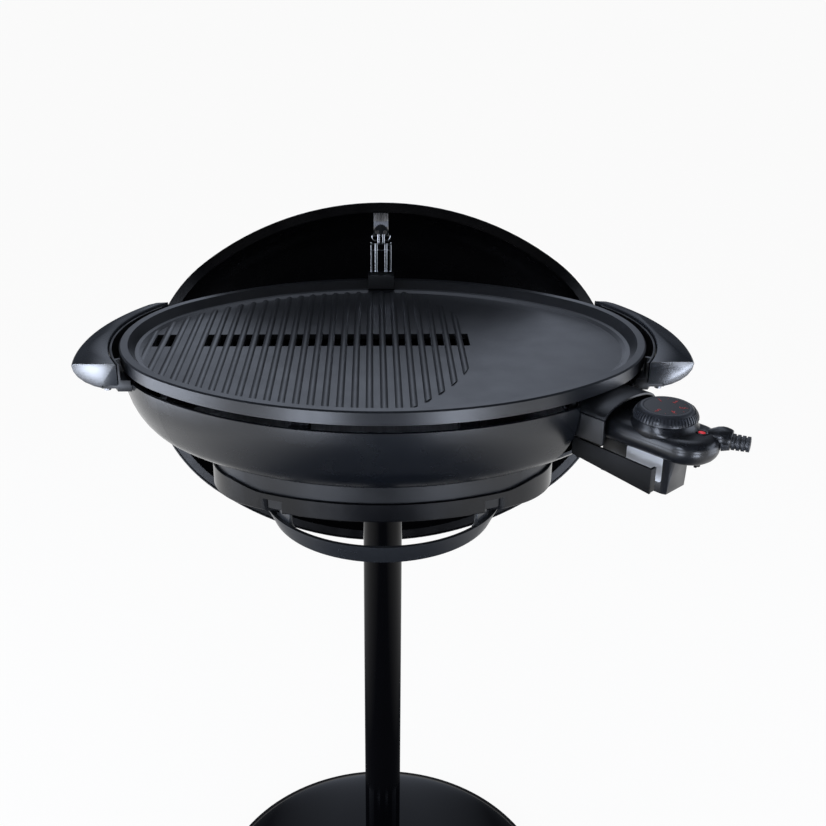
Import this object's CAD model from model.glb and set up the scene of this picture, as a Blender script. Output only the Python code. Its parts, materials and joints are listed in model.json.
# Electric pedestal grill with a lid hung behind it
import json
import math

import bpy
from mathutils import Matrix, Vector


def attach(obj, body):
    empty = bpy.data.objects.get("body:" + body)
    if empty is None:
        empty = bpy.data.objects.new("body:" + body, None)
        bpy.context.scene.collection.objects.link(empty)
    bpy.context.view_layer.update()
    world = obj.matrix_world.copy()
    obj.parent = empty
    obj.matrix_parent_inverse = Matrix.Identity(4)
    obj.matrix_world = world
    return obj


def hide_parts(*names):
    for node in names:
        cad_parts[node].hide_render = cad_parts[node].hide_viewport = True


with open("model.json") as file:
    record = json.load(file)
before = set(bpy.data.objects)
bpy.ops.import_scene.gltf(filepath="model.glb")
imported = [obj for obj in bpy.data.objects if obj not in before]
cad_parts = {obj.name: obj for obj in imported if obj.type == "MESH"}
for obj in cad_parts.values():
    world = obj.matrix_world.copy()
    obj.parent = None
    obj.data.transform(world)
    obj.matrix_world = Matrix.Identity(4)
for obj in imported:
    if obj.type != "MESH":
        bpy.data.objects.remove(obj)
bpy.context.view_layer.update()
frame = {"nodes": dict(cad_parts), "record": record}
nodes = frame["nodes"]
print("frame loaded:", len(nodes), "nodes")
bpy.context.scene.view_settings.view_transform = "Standard"

view = {
    "aim": (0.0, 0.0, 0.72724), "distance": 1.21378, "elevation": 23.71, "azimuth": -0.55,
    "lens": 47.648, "sensor": 36, "shiftX": 0.0367, "near": 0.02,
}


def placeCamera():
    up = math.radians(view["elevation"])
    side = math.radians(view["azimuth"])
    away = Vector((math.sin(side) * math.cos(up), -math.cos(side) * math.cos(up), math.sin(up)))
    bpy.ops.object.camera_add(location=Vector(view["aim"]) + away * view["distance"])
    camera = bpy.context.object
    camera.name = "viewCamera"
    camera.rotation_euler = (-away).to_track_quat("-Z", "Y").to_euler()
    camera.data.lens = view["lens"]
    camera.data.sensor_width = view["sensor"]
    camera.data.shift_x = view["shiftX"]
    camera.data.clip_start = view["near"]
    bpy.context.scene.camera = camera


placeCamera()
print("camera placed")


def newMaterial(name):
    material = bpy.data.materials.new(name)
    material.use_nodes = True
    tree = material.node_tree
    shader = tree.nodes["Principled BSDF"]
    place = tree.nodes.new("ShaderNodeTexCoord")
    return material, tree, shader, place


def noiseNode(tree, place, scale, detail, stretch=(1, 1, 1)):
    mapping = tree.nodes.new("ShaderNodeMapping")
    mapping.inputs["Scale"].default_value = stretch
    noise = tree.nodes.new("ShaderNodeTexNoise")
    noise.inputs["Scale"].default_value = scale
    noise.inputs["Detail"].default_value = detail
    tree.links.new(place.outputs["Object"], mapping.inputs["Vector"])
    tree.links.new(mapping.outputs["Vector"], noise.inputs["Vector"])
    return noise.outputs["Fac"]


def rangeNode(tree, value, low, high, fromLow=0.3, fromHigh=0.7):  # defaults: a noise's usual span
    node = tree.nodes.new("ShaderNodeMapRange")
    node.inputs["From Min"].default_value = fromLow
    node.inputs["From Max"].default_value = fromHigh
    node.inputs["To Min"].default_value = low
    node.inputs["To Max"].default_value = high
    tree.links.new(value, node.inputs["Value"])
    return node.outputs["Result"]


def mathNode(tree, operation, first, second=0):
    node = tree.nodes.new("ShaderNodeMath")
    node.operation = operation
    for socket, value in zip(node.inputs, (first, second)):
        if isinstance(value, (int, float)):
            socket.default_value = value
        else:
            tree.links.new(value, socket)
    return node.outputs["Value"]


mixSockets = {"first": 6, "second": 7, "result": 2}  # where a Mix node keeps its colour sockets


def blendColours(tree, value, first, second):
    node = tree.nodes.new("ShaderNodeMix")
    node.data_type = "RGBA"
    tree.links.new(value, node.inputs["Factor"])
    for name, colour in (("first", first), ("second", second)):
        socket = node.inputs[mixSockets[name]]
        if isinstance(colour, tuple):
            socket.default_value = (*colour, 1)
        else:
            tree.links.new(colour, socket)
    return node.outputs[mixSockets["result"]]


def bumpNode(tree, shader, height, distance, strength):
    bump = tree.nodes.new("ShaderNodeBump")
    bump.inputs["Distance"].default_value = distance
    bump.inputs["Strength"].default_value = strength
    tree.links.new(height, bump.inputs["Height"])
    tree.links.new(bump.outputs["Normal"], shader.inputs["Normal"])


def scaled(colour, factor):
    return tuple(channel * factor for channel in colour)


grained = {  # what a moulded or coated surface has where its own row says nothing else
    "drift": 9.0, "driftDetail": 2.0, "darker": 0.9, "lighter": 1.1,
    "fleckDetail": 1.0, "fleckFrom": 0.62, "fleckFull": 0.7,
    "smudge": 35.0, "smudgeDetail": 4.0, "grainDetail": 2.0, "strength": 0.5,
    "specular": 0.5, "coat": 0.0, "coatRoughness": 0.1,
}


def grainedFinish(name, row):  # fine grain, slow colour drift, uneven gloss
    look = {**grained, **row}
    material, tree, shader, place = newMaterial(name)
    drift = noiseNode(tree, place, look["drift"], look["driftDetail"])
    tone = blendColours(
        tree, rangeNode(tree, drift, 0.0, 1.0),
        scaled(look["colour"], look["darker"]), scaled(look["colour"], look["lighter"]))
    if "fleck" in look:
        flecks = noiseNode(tree, place, look["fleckScale"], look["fleckDetail"])
        share = rangeNode(tree, flecks, 0.0, 1.0, look["fleckFrom"], look["fleckFull"])
        tone = blendColours(tree, share, tone, look["fleck"])
    tree.links.new(tone, shader.inputs["Base Color"])
    smudge = noiseNode(tree, place, look["smudge"], look["smudgeDetail"])
    tree.links.new(rangeNode(tree, smudge, *look["roughness"]), shader.inputs["Roughness"])
    grain = noiseNode(tree, place, look["grain"], look["grainDetail"])
    bumpNode(tree, shader, grain, look["depth"], look["strength"])
    shader.inputs["Specular IOR Level"].default_value = look["specular"]
    shader.inputs["Coat Weight"].default_value = look["coat"]
    shader.inputs["Coat Roughness"].default_value = look["coatRoughness"]
    if "glow" in look:
        shader.inputs["Emission Color"].default_value = (*look["glow"], 1)
        shader.inputs["Emission Strength"].default_value = look["glowPower"]
    return material


brushed = {  # what a metal surface has where its own row says nothing else
    "lines": 900.0, "detail": 3.0, "stretch": (1, 0.02, 0.02), "darker": 0.8,
    "depth": 0.00002, "strength": 0.4,
}


def brushedFinish(name, row):  # fine lines, drawn out along the axes whose stretch is small
    look = {**brushed, **row}
    material, tree, shader, place = newMaterial(name)
    lines = noiseNode(tree, place, look["lines"], look["detail"], look["stretch"])
    tone = blendColours(
        tree, rangeNode(tree, lines, 0.0, 1.0),
        scaled(look["colour"], look["darker"]), look["colour"])
    tree.links.new(tone, shader.inputs["Base Color"])
    tree.links.new(rangeNode(tree, lines, *look["roughness"]), shader.inputs["Roughness"])
    bumpNode(tree, shader, lines, look["depth"], look["strength"])
    shader.inputs["Metallic"].default_value = 1.0
    return material


grainedLooks = {
    "lidEnamel": {
        "colour": (0.0025, 0.0025, 0.003), "roughness": (0.2, 0.3), "specular": 0.2,
        "grain": 260.0, "depth": 0.00003, "strength": 0.2},
    "tubeEnamel": {
        "colour": (0.0015, 0.0015, 0.002), "roughness": (0.08, 0.15), "specular": 0.12,
        "grain": 500.0, "depth": 0.00003, "strength": 0.15},
    "castCoating": {
        "colour": (0.009, 0.0102, 0.0128), "roughness": (0.29, 0.36), "specular": 0.6,
        "grain": 1100.0, "depth": 0.00008, "fleck": (0.02, 0.022, 0.026), "fleckScale": 1600.0},
    "bowlPlastic": {
        "colour": (0.007, 0.0084, 0.011), "roughness": (0.22, 0.3),
        "grain": 1500.0, "depth": 0.00003, "coat": 0.25, "coatRoughness": 0.25},
    "skirtPlastic": {
        "colour": (0.003, 0.0034, 0.0045), "roughness": (0.2, 0.27), "specular": 0.4,
        "grain": 1500.0, "depth": 0.00005},
    "housingPlastic": {
        "colour": (0.008, 0.009, 0.011), "roughness": (0.26, 0.36),
        "grain": 1700.0, "depth": 0.00004},
    "shieldPlastic": {
        "colour": (0.0045, 0.0052, 0.0066), "roughness": (0.32, 0.42),
        "grain": 1500.0, "depth": 0.00005},
    "handlePlastic": {
        "colour": (0.009, 0.011, 0.0145), "roughness": (0.24, 0.3), "specular": 0.1,
        "grain": 1700.0, "depth": 0.00003},
    "handleEnd": {
        "colour": (0.03, 0.035, 0.043), "roughness": (0.24, 0.28), "specular": 1.0,
        "grain": 1700.0, "depth": 0.00002, "coat": 0.8, "coatRoughness": 0.2},
    "ringPaint": {
        "colour": (0.02, 0.022, 0.025), "roughness": (0.26, 0.34),
        "grain": 900.0, "depth": 0.00004},
    "rubberMould": {
        "colour": (0.012, 0.012, 0.012), "roughness": (0.7, 0.85),
        "grain": 800.0, "depth": 0.0001},
    "bootPlastic": {
        "colour": (0.03, 0.032, 0.036), "roughness": (0.4, 0.5),
        "grain": 1500.0, "depth": 0.00005},
    "guardPlastic": {
        "colour": (0.0016, 0.0018, 0.0022), "roughness": (0.4, 0.5), "specular": 0.15,
        "grain": 1500.0, "depth": 0.00006},
    "dialGrip": {
        "colour": (0.02, 0.0225, 0.028), "roughness": (0.3, 0.38),
        "grain": 1500.0, "depth": 0.00003},
    "labelFoil": {
        "colour": (0.86, 0.87, 0.88), "roughness": (0.3, 0.4),
        "grain": 900.0, "depth": 0.00002},
    "dialGloss": {
        "colour": (0.006, 0.006, 0.007), "roughness": (0.14, 0.22),
        "grain": 1200.0, "depth": 0.00002},
    "figureRed": {
        "colour": (0.42, 0.02, 0.02), "roughness": (0.35, 0.45),
        "grain": 900.0, "depth": 0.00002},
    "lampRed": {
        "colour": (0.4, 0.01, 0.015), "roughness": (0.12, 0.2),
        "grain": 900.0, "depth": 0.00002, "glow": (1.0, 0.05, 0.07), "glowPower": 0.35},
    "ceramicBody": {
        "colour": (0.72, 0.7, 0.64), "roughness": (0.5, 0.65),
        "grain": 900.0, "depth": 0.00005},
}
brushedLooks = {
    "chromeWire": {"colour": (0.72, 0.73, 0.75), "roughness": (0.06, 0.12), "lines": 300.0},
    "satinSteel": {"colour": (0.42, 0.42, 0.44), "roughness": (0.22, 0.34)},
    "screwSteel": {"colour": (0.32, 0.32, 0.33), "roughness": (0.25, 0.4), "stretch": (1, 1, 0.1)},
    "rawSteel": {"colour": (0.1, 0.1, 0.11), "roughness": (0.4, 0.6), "lines": 200.0},
    "trayAluminium": {"colour": (0.62, 0.63, 0.65), "roughness": (0.3, 0.42)},
    "sleeveBrass": {"colour": (0.6, 0.4, 0.16), "roughness": (0.25, 0.4)},
}
finishes = {name: grainedFinish(name, row) for name, row in grainedLooks.items()}
finishes.update({name: brushedFinish(name, row) for name, row in brushedLooks.items()})

finishOf = {
    "tubeEnamel": ["foot_cover", "lower_tube", "upper_tube"],
    "lidEnamel": ["lid_shell"],
    "rawSteel": [
        "foot_ballast", "foot_spigot", "tube_joiner", "column_spigot", "plate_supports",
        "heating_element"],
    "rubberMould": ["rubber_ring"],
    "screwSteel": [
        "foot_bolts", "tube_screws", "cradle_screws", "ring_screws", "bowl_bolts", "bowl_nuts",
        "handle_screws", "hood_screws", "guard_screws", "strap_rivets", "lid_handle_spacers",
        "lid_handle_screws", "housing_screws", "contact_pins", "sensor_probe", "dial_shaft"],
    "bowlPlastic": ["base_bowl", "support_rivets"],
    "skirtPlastic": ["cradle"],
    "shieldPlastic": [
        "bowl_foot", "left_handle_bracket", "right_handle_bracket", "plug_hood", "rim_clip",
        "lid_handle"],
    "guardPlastic": ["plug_guard"],
    "ringPaint": ["table_ring", "ring_legs"],
    "handlePlastic": ["left_handle", "right_handle"],
    "trayAluminium": ["drip_tray"],
    "castCoating": ["grill_plate"],
    "ceramicBody": ["pin_insulators", "thermal_switch"],
    "chromeWire": ["holder_frame"],
    "satinSteel": ["hook_strap"],
    "housingPlastic": ["thermostat_top", "thermostat_base", "dial_knob"],
    "dialGloss": ["dial_cap"],
    "bootPlastic": ["cable_gland"],
    "labelFoil": ["rating_plate"],
    "lampRed": ["pilot_lamp"],
    "sleeveBrass": ["contact_sleeves"],
}
nodeFinish = {member: name for name, members in finishOf.items() for member in members}
for member, name in nodeFinish.items():
    nodes[member].data.materials.clear()
    nodes[member].data.materials.append(finishes[name])
print("finishes set on", len(nodeFinish), "nodes")

bodyOf = {}
for body, members in frame["record"]["behaviour"]["bodies"].items():
    for member in members:
        bodyOf[member] = body


def selectOnly(piece):
    if bpy.context.object and bpy.context.object.mode != "OBJECT":
        bpy.ops.object.mode_set(mode="OBJECT")
    bpy.ops.object.select_all(action="DESELECT")
    piece.select_set(True)
    bpy.context.view_layer.objects.active = piece


def applyModifier(piece, kind, settings):
    selectOnly(piece)
    modifier = piece.modifiers.new(kind.lower(), kind)
    for key, value in settings.items():
        setattr(modifier, key, value)
    bpy.ops.object.modifier_apply(modifier=modifier.name)


def pickFaces(piece, wanted):  # leaves the faces that pass the test selected in edit mode
    selectOnly(piece)
    bpy.context.tool_settings.mesh_select_mode = (False, False, True)
    mesh = piece.data
    for part in list(mesh.vertices) + list(mesh.edges):
        part.select = False
    for face in mesh.polygons:
        face.select = wanted(face)
        if face.select:
            for index in face.vertices:
                mesh.vertices[index].select = True
    bpy.ops.object.mode_set(mode="EDIT")


def smoothShade(piece, angle):
    selectOnly(piece)
    bpy.ops.object.shade_smooth_by_angle(angle=math.radians(angle))


def finishPiece(piece, name, finish, body):
    piece.name = name
    piece.data.name = name
    piece.data.materials.clear()
    piece.data.materials.append(finishes[finish])
    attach(piece, body)


easing = {  # how a copy is eased where its own row says nothing else; edge 0 means no bevel
    "merge": 0.00001, "flat": 0.4, "edge": 0, "segments": 3, "from": 38, "smooth": 32,
}


def roundedCopy(nodeName, row):  # the node's own form, edges eased and curves shaded smooth
    shape = {**easing, **row}
    piece = nodes[nodeName].copy()
    piece.data = nodes[nodeName].data.copy()
    for key in list(piece.keys()):
        del piece[key]
    piece.parent = None
    bpy.context.scene.collection.objects.link(piece)
    selectOnly(piece)
    bpy.ops.mesh.customdata_custom_splitnormals_clear()
    bpy.ops.object.mode_set(mode="EDIT")
    bpy.ops.mesh.select_mode(type="EDGE")
    bpy.ops.mesh.select_all(action="SELECT")
    bpy.ops.mesh.remove_doubles(threshold=shape["merge"])
    bpy.ops.mesh.dissolve_limited(angle_limit=math.radians(shape["flat"]))
    bpy.ops.object.mode_set(mode="OBJECT")
    if shape["edge"]:
        applyModifier(piece, "BEVEL", {
            "width": shape["edge"], "segments": shape["segments"], "limit_method": "ANGLE",
            "angle_limit": math.radians(shape["from"])})
    smoothShade(piece, shape["smooth"])
    finishPiece(piece, shape["name"], nodeFinish[nodeName], bodyOf[nodeName])
    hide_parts(nodeName)
    return piece


easedShapes = {
    "left_handle": {"name": "leftHandleGrip", "edge": 0.001, "from": 60, "smooth": 50},
    "right_handle": {"name": "rightHandleGrip", "edge": 0.001, "from": 60, "smooth": 50},
    "left_handle_bracket": {"name": "leftHandleArm", "edge": 0.0007},
    "right_handle_bracket": {"name": "rightHandleArm", "edge": 0.0007},
    "plug_hood": {"name": "plugArch", "edge": 0.0009, "segments": 4},
    "plug_guard": {"name": "plugChannel", "edge": 0.0006},
    "rim_clip": {"name": "holderClip", "edge": 0.0008},
    "hook_strap": {"name": "holderHook", "edge": 0.0003, "segments": 2},
    "base_bowl": {"name": "bowlShell", "flat": 0.01},
    "bowl_foot": {"name": "bowlFootRing", "edge": 0.0008, "segments": 2, "from": 50},
    "cradle": {"name": "cradleSkirt", "edge": 0.0008, "segments": 2, "from": 45},
    "table_ring": {"name": "tableRingBand", "edge": 0.0012, "segments": 4, "from": 45},
    "ring_legs": {"name": "tableRingLegs", "edge": 0.0008, "segments": 2, "from": 45},
    "lid_shell": {"name": "lidDome", "flat": 0.01},
    "foot_cover": {"name": "footDome", "flat": 0.01},
    "grill_plate": {"name": "cookingPlate", "flat": 0.01, "smooth": 14},
    "thermostat_base": {"name": "housingLowerHalf", "edge": 0.0006, "segments": 2, "from": 45},
    "thermostat_top": {"name": "housingUpperHalf", "edge": 0.0005, "segments": 2, "from": 45},
    "cable_gland": {"name": "cordBoot", "edge": 0.0005, "segments": 2, "from": 45},
}
for nodeName, row in easedShapes.items():
    roundedCopy(nodeName, row)
    print("eased", row["name"])

endFace = {"straight": 0.98, "finish": "handleEnd"}


def polishEnds(name):  # the flat front end of a handle is smoother than its grained top
    piece = bpy.data.objects[name]
    piece.data.materials.append(finishes[endFace["finish"]])
    for face in piece.data.polygons:
        if -face.normal.y > endFace["straight"]:
            face.material_index = 1


polishEnds("leftHandleGrip")
polishEnds("rightHandleGrip")
print("handle ends polished")

plug = {"turn": -48.0, "middle": (0.115, 0.0, 0.82)}
plugPlace = Matrix.Translation(plug["middle"]) @ Matrix.Rotation(math.radians(plug["turn"]), 4, "Z")


def ontoPlug(piece):  # from the plug's own axes to the frame, with the place kept in the mesh
    piece.matrix_world = plugPlace @ piece.matrix_world
    selectOnly(piece)
    bpy.ops.object.transform_apply(location=True, rotation=True, scale=True)


def turnedPiece(rings, sides, middle):  # rings of half length, half width, level; ends closed
    x, y = middle
    length, width, level = rings[0]
    bpy.ops.object.select_all(action="DESELECT")
    bpy.ops.mesh.primitive_circle_add(
        vertices=sides, radius=1, location=(x, y, level), fill_type="NGON")
    piece = bpy.context.object
    bpy.ops.object.mode_set(mode="EDIT")
    bpy.ops.mesh.select_all(action="SELECT")
    bpy.ops.transform.resize(value=(length, width, 1), center_override=(x, y, level))
    for last, ring in zip(rings, rings[1:]):
        rise = ring[2] - last[2]
        bpy.ops.mesh.extrude_region_move(TRANSFORM_OT_translate={"value": (0, 0, rise)})
        bpy.ops.transform.resize(
            value=(ring[0] / last[0], ring[1] / last[1], 1), center_override=(x, y, ring[2]))
    bpy.ops.mesh.select_all(action="SELECT")
    bpy.ops.mesh.normals_make_consistent(inside=False)
    bpy.ops.object.mode_set(mode="OBJECT")
    bpy.ops.object.transform_apply(location=True, rotation=True, scale=True)
    return piece


collar = {
    "middle": (0.226, 0.0), "sides": 96, "smooth": 60,
    "rings": [(0.0365, 0.0290, -0.0385), (0.0365, 0.0296, -0.0365), (0.0362, 0.0302, -0.0340),
              (0.0350, 0.0307, -0.0318), (0.0333, 0.0309, -0.0302), (0.0318, 0.0306, -0.0288),
              (0.0304, 0.0300, -0.0268), (0.0295, 0.0294, -0.0252), (0.0289, 0.0289, -0.0241)],
}


def makeCollar():
    piece = turnedPiece(collar["rings"], collar["sides"], collar["middle"])
    ontoPlug(piece)
    smoothShade(piece, collar["smooth"])
    finishPiece(piece, "dialCollar", "housingPlastic", "thermostat")


dial = {
    "middle": (0.226, 0.0), "sides": 112, "smooth": 30,
    "rings": [(0.0290, 0.0290, -0.0237), (0.0298, 0.0298, -0.0231), (0.0298, 0.0298, -0.0226),
              (0.0297, 0.0297, -0.0210), (0.0288, 0.0288, -0.0185), (0.0264, 0.0264, -0.0153),
              (0.0259, 0.0259, -0.0146), (0.0252, 0.0252, -0.0138), (0.0240, 0.0240, -0.0129),
              (0.0222, 0.0222, -0.0127), (0.02145, 0.02145, -0.0129), (0.0213, 0.0213, -0.0141)],
    "toothRise": 0.001, "toothLow": -0.0227, "toothHigh": -0.0152,
    "nudge": 0.01,  # share of a side that keeps the count clear of the sides' edges
}


def makeDial():
    piece = turnedPiece(dial["rings"], dial["sides"], dial["middle"])
    x, y = dial["middle"]

    def isTooth(face):  # every second side of the sloping band
        turn = math.atan2(face.center.y - y, face.center.x - x)
        side = int(math.floor(turn / (2 * math.pi) * dial["sides"] + dial["nudge"]))
        return dial["toothLow"] < face.center.z < dial["toothHigh"] and side % 2 == 0

    pickFaces(piece, isTooth)
    bpy.ops.mesh.extrude_region_shrink_fatten(
        TRANSFORM_OT_shrink_fatten={"value": dial["toothRise"]})
    bpy.ops.object.mode_set(mode="OBJECT")
    ontoPlug(piece)
    smoothShade(piece, dial["smooth"])
    finishPiece(piece, "dialGrip", "dialGrip", "dial")
    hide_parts("dial_knob")


figures = {
    "count": 5, "radius": 0.0138, "level": -0.01295, "from": 150.0, "step": -60.0,
    "size": 0.0082, "thickness": 0.00012, "curve": 4,
    "markOut": 0.0048, "longMark": 0.0019, "shortMark": 0.001, "markWidth": 0.00055,
    "markEdge": 0.0002, "markSegments": 2,
}


def dialSpot(turn, radius):
    x, y = dial["middle"]
    return x + radius * math.cos(turn), y + radius * math.sin(turn), figures["level"]


def makeFigure(index):  # a number that reads from the dial's middle
    turn = math.radians(figures["from"] + index * figures["step"])
    bpy.ops.object.select_all(action="DESELECT")
    bpy.ops.object.text_add(
        location=dialSpot(turn, figures["radius"]), rotation=(0, 0, turn - math.pi / 2))
    word = bpy.context.object
    word.data.body = str(index + 1)
    word.data.size = figures["size"]
    word.data.align_x = "CENTER"
    word.data.align_y = "CENTER"
    word.data.extrude = figures["thickness"]
    word.data.resolution_u = figures["curve"]
    selectOnly(word)
    bpy.ops.object.convert(target="MESH")
    return bpy.context.object


def makeMark(index):  # long at a number, short halfway to the next
    turn = math.radians(figures["from"] + index * figures["step"] / 2)
    bpy.ops.object.select_all(action="DESELECT")
    bpy.ops.mesh.primitive_cube_add(
        size=1, location=dialSpot(turn, figures["radius"] + figures["markOut"]),
        rotation=(0, 0, turn))
    mark = bpy.context.object
    length = figures["longMark"] if index % 2 == 0 else figures["shortMark"]
    mark.scale = (length, figures["markWidth"], 2 * figures["thickness"])
    bpy.ops.object.transform_apply(location=True, rotation=True, scale=True)
    bpy.ops.object.mode_set(mode="EDIT")
    bpy.ops.mesh.select_all(action="SELECT")
    bpy.ops.mesh.bevel(offset=figures["markEdge"], segments=figures["markSegments"])
    bpy.ops.object.mode_set(mode="OBJECT")
    return mark


def makeFigures():
    made = [makeFigure(index) for index in range(figures["count"])]
    made += [makeMark(index) for index in range(2 * figures["count"] - 1)]
    bpy.ops.object.select_all(action="DESELECT")
    for piece in made:
        piece.select_set(True)
    bpy.context.view_layer.objects.active = made[0]
    bpy.ops.object.join()
    piece = bpy.context.object
    ontoPlug(piece)
    finishPiece(piece, "dialFigures", "figureRed", "dial")


lamp = {
    "middle": (0.2624, 0.0059), "sides": 48, "bezelSmooth": 40, "lensSmooth": 60,
    "bezel": [(0.0068, 0.0056, -0.0306), (0.0067, 0.0055, -0.0297), (0.0058, 0.0047, -0.0292),
              (0.0048, 0.0038, -0.0294), (0.0042, 0.0034, -0.0299)],
    "lens": [(0.0037, 0.0030, -0.0306), (0.0037, 0.0030, -0.0300), (0.0032, 0.0026, -0.0296),
             (0.0018, 0.0015, -0.0294)],
}


def makeLamp():
    bezel = turnedPiece(lamp["bezel"], lamp["sides"], lamp["middle"])
    ontoPlug(bezel)
    smoothShade(bezel, lamp["bezelSmooth"])
    finishPiece(bezel, "lampBezel", "dialGloss", "thermostat")
    lens = turnedPiece(lamp["lens"], lamp["sides"], lamp["middle"])
    ontoPlug(lens)
    smoothShade(lens, lamp["lensSmooth"])
    finishPiece(lens, "lampLens", "lampRed", "thermostat")
    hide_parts("pilot_lamp")


neck = {
    "start": (0.2847, 0.0204, -0.0335), "turn": 23.0, "sides": 64, "smooth": 60,
    "rings": [(0.0060, 0.0060, -0.0210), (0.0078, 0.0078, -0.0170), (0.0096, 0.0096, -0.0130),
              (0.0105, 0.0105, -0.0085), (0.0103, 0.0103, -0.0050), (0.0094, 0.0094, -0.0015),
              (0.0086, 0.0086, 0.0006), (0.0078, 0.0078, 0.0012)],
}


def makeNeck():  # fairing that carries the cord boot's collar into the housing
    piece = turnedPiece(neck["rings"], neck["sides"], (0.0, 0.0))
    flat = Matrix.Rotation(math.radians(90), 4, "Y")
    turned = Matrix.Rotation(math.radians(neck["turn"]), 4, "Z")
    piece.matrix_world = Matrix.Translation(neck["start"]) @ (turned @ flat)
    ontoPlug(piece)
    smoothShade(piece, neck["smooth"])
    finishPiece(piece, "bootNeck", "housingPlastic", "thermostat")


label = {
    "shape": {"name": "blankLabel", "smooth": 40},
    "corner": 0.0026, "segments": 6, "straight": 0.99, "smooth": 30,
}


def makeLabel():  # the plate's four corner edges, which run through its thickness, are rounded
    piece = roundedCopy("rating_plate", label["shape"])
    across = plugPlace.to_3x3() @ Vector((0, 1, 0))
    mesh = piece.data
    for part in list(mesh.vertices) + list(mesh.polygons):
        part.select = False
    for edge in mesh.edges:
        start, end = [mesh.vertices[index].co for index in edge.vertices]
        edge.select = abs((end - start).normalized().dot(across)) > label["straight"]
    selectOnly(piece)
    bpy.ops.object.mode_set(mode="EDIT")
    bpy.ops.mesh.select_mode(type="EDGE")
    bpy.ops.mesh.bevel(offset=label["corner"], segments=label["segments"])
    bpy.ops.object.mode_set(mode="OBJECT")
    smoothShade(piece, label["smooth"])


makeCollar()
makeDial()
makeFigures()
makeLamp()
makeNeck()
makeLabel()
print("plug pieces made")


def seenDirectly(tree):  # two masks: what the camera sees itself, what a gloss surface mirrors
    path = tree.nodes.new("ShaderNodeLightPath")
    straight, through = path.outputs["Is Camera Ray"], path.outputs["Is Transmission Ray"]
    return mathNode(tree, "MAXIMUM", straight, through), path.outputs["Is Glossy Ray"]


def splitAxes(tree, vector):
    split = tree.nodes.new("ShaderNodeSeparateXYZ")
    tree.links.new(vector, split.inputs["Vector"])
    return split.outputs


def tintNode(tree, value, colour):
    node = tree.nodes.new("ShaderNodeVectorMath")
    node.operation = "SCALE"
    node.inputs[0].default_value = colour
    tree.links.new(value, node.inputs["Scale"])
    return node.outputs["Vector"]


floorPaper = {
    "size": 60, "roughness": 0.9, "colour": (0.08, 0.08, 0.082), "seen": (0.85, 0.85, 0.85),
    "white": 0.93,  # share of plain white in what the camera sees
    "sweep": (0.34, 0.95),  # distance behind or beside the column where the mirrored white grows
}


def makeFloor():  # white to the camera; mirrored, it is dark near the column and white far off
    bpy.ops.object.select_all(action="DESELECT")
    bpy.ops.mesh.primitive_plane_add(size=floorPaper["size"], location=(0, 0, 0))
    floor = bpy.context.object
    floor.name = "studioFloor"
    material, tree, shader, place = newMaterial("floorPaper")
    shader.inputs["Roughness"].default_value = floorPaper["roughness"]
    shader.inputs["Specular IOR Level"].default_value = 0.0
    direct, glossy = seenDirectly(tree)
    paper = blendColours(tree, direct, floorPaper["colour"], floorPaper["seen"])
    tree.links.new(paper, shader.inputs["Base Color"])
    axes = splitAxes(tree, place.outputs["Object"])
    away = mathNode(tree, "MAXIMUM", mathNode(tree, "ABSOLUTE", axes["X"]), axes["Y"])
    mirrored = mathNode(
        tree, "MULTIPLY", glossy, rangeNode(tree, away, 0.0, 1.0, *floorPaper["sweep"]))
    seen = mathNode(tree, "MULTIPLY", direct, floorPaper["white"])
    glow = tree.nodes.new("ShaderNodeEmission")
    glow.inputs["Color"].default_value = (1, 1, 1, 1)
    mixer = tree.nodes.new("ShaderNodeMixShader")
    tree.links.new(mathNode(tree, "MAXIMUM", seen, mirrored), mixer.inputs["Fac"])
    tree.links.new(shader.outputs["BSDF"], mixer.inputs[1])
    tree.links.new(glow.outputs["Emission"], mixer.inputs[2])
    tree.links.new(mixer.outputs["Shader"], tree.nodes["Material Output"].inputs["Surface"])
    floor.data.materials.append(material)


studio = {
    "cool": (0.75, 0.83, 1.0), "white": (1.0, 1.0, 1.0),
    "frontGlow": 0.01, "backGlow": 1.15, "frontToBack": (-0.1, 0.5),  # what mirrors find, by depth
    "middleShare": 1.0, "sideShare": 0.15, "middleToSide": (0.08, 0.32),  # and by width
    "lowLight": 0.2, "highLight": 0.5, "lowToHigh": (-0.2, 0.8),  # soft light on matt surfaces
}


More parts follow.
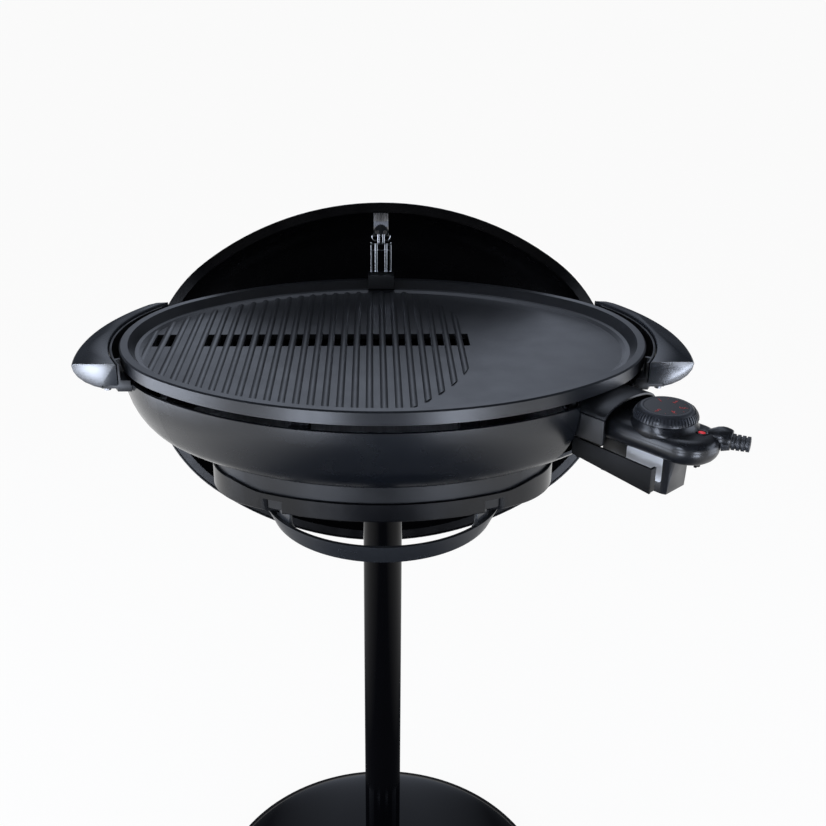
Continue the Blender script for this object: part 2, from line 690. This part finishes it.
def makeWorld():
    world = bpy.data.worlds.new("studioWorld")
    bpy.context.scene.world = world
    world.use_nodes = True
    tree = world.node_tree
    background = tree.nodes["Background"]
    direct, glossy = seenDirectly(tree)
    place = tree.nodes.new("ShaderNodeTexCoord")
    axes = splitAxes(tree, place.outputs["Generated"])
    behind = rangeNode(
        tree, axes["Y"], studio["frontGlow"], studio["backGlow"], *studio["frontToBack"])
    narrow = rangeNode(
        tree, mathNode(tree, "ABSOLUTE", axes["X"]),
        studio["middleShare"], studio["sideShare"], *studio["middleToSide"])
    mirrored = tintNode(tree, mathNode(tree, "MULTIPLY", behind, narrow), studio["cool"])
    lit = rangeNode(
        tree, axes["Z"], studio["lowLight"], studio["highLight"], *studio["lowToHigh"])
    soft = blendColours(tree, glossy, lit, mirrored)
    seen = blendColours(tree, direct, soft, studio["white"])
    tree.links.new(seen, background.inputs["Color"])


softboxes = {
    "leftSoftbox": {
        "place": (-1.9, -0.3, 0.7), "aim": (0, 0, 0.72), "size": (1.4, 1.6), "power": 38},
    "rightSoftbox": {
        "place": (1.9, -0.3, 0.8), "aim": (0, 0, 0.72), "size": (1.2, 1.5), "power": 17},
    "topSoftbox": {
        "place": (0, 0.6, 2.6), "aim": (0, 0, 0.8), "size": (2.2, 1.2), "power": 6},
    "frontLeftSoftbox": {
        "place": (-0.84, -1.75, 0.3), "aim": (-0.3, -0.09, 0.8), "size": (0.55, 0.5),
        "power": 13},
    "frontRightSoftbox": {
        "place": (0.84, -1.75, 0.3), "aim": (0.3, -0.09, 0.8), "size": (0.55, 0.5),
        "power": 12},
    "labelSoftbox": {
        "place": (-0.75, -1.35, 1.2), "aim": (0.285, -0.2, 0.755), "size": (0.6, 0.6),
        "power": 0.33, "spread": 20},
}


def makeSoftbox(name, box):
    bpy.ops.object.light_add(type="AREA", location=box["place"])
    light = bpy.context.object
    light.name = name
    light.data.shape = "RECTANGLE"
    light.data.size, light.data.size_y = box["size"]
    light.data.energy = box["power"]
    light.data.color = studio["cool"]
    if "spread" in box:
        light.data.spread = math.radians(box["spread"])
    towards = Vector(box["aim"]) - Vector(box["place"])
    light.rotation_euler = towards.to_track_quat("-Z", "Y").to_euler()


makeFloor()
makeWorld()
for name, box in softboxes.items():
    makeSoftbox(name, box)
print("floor and lights placed")
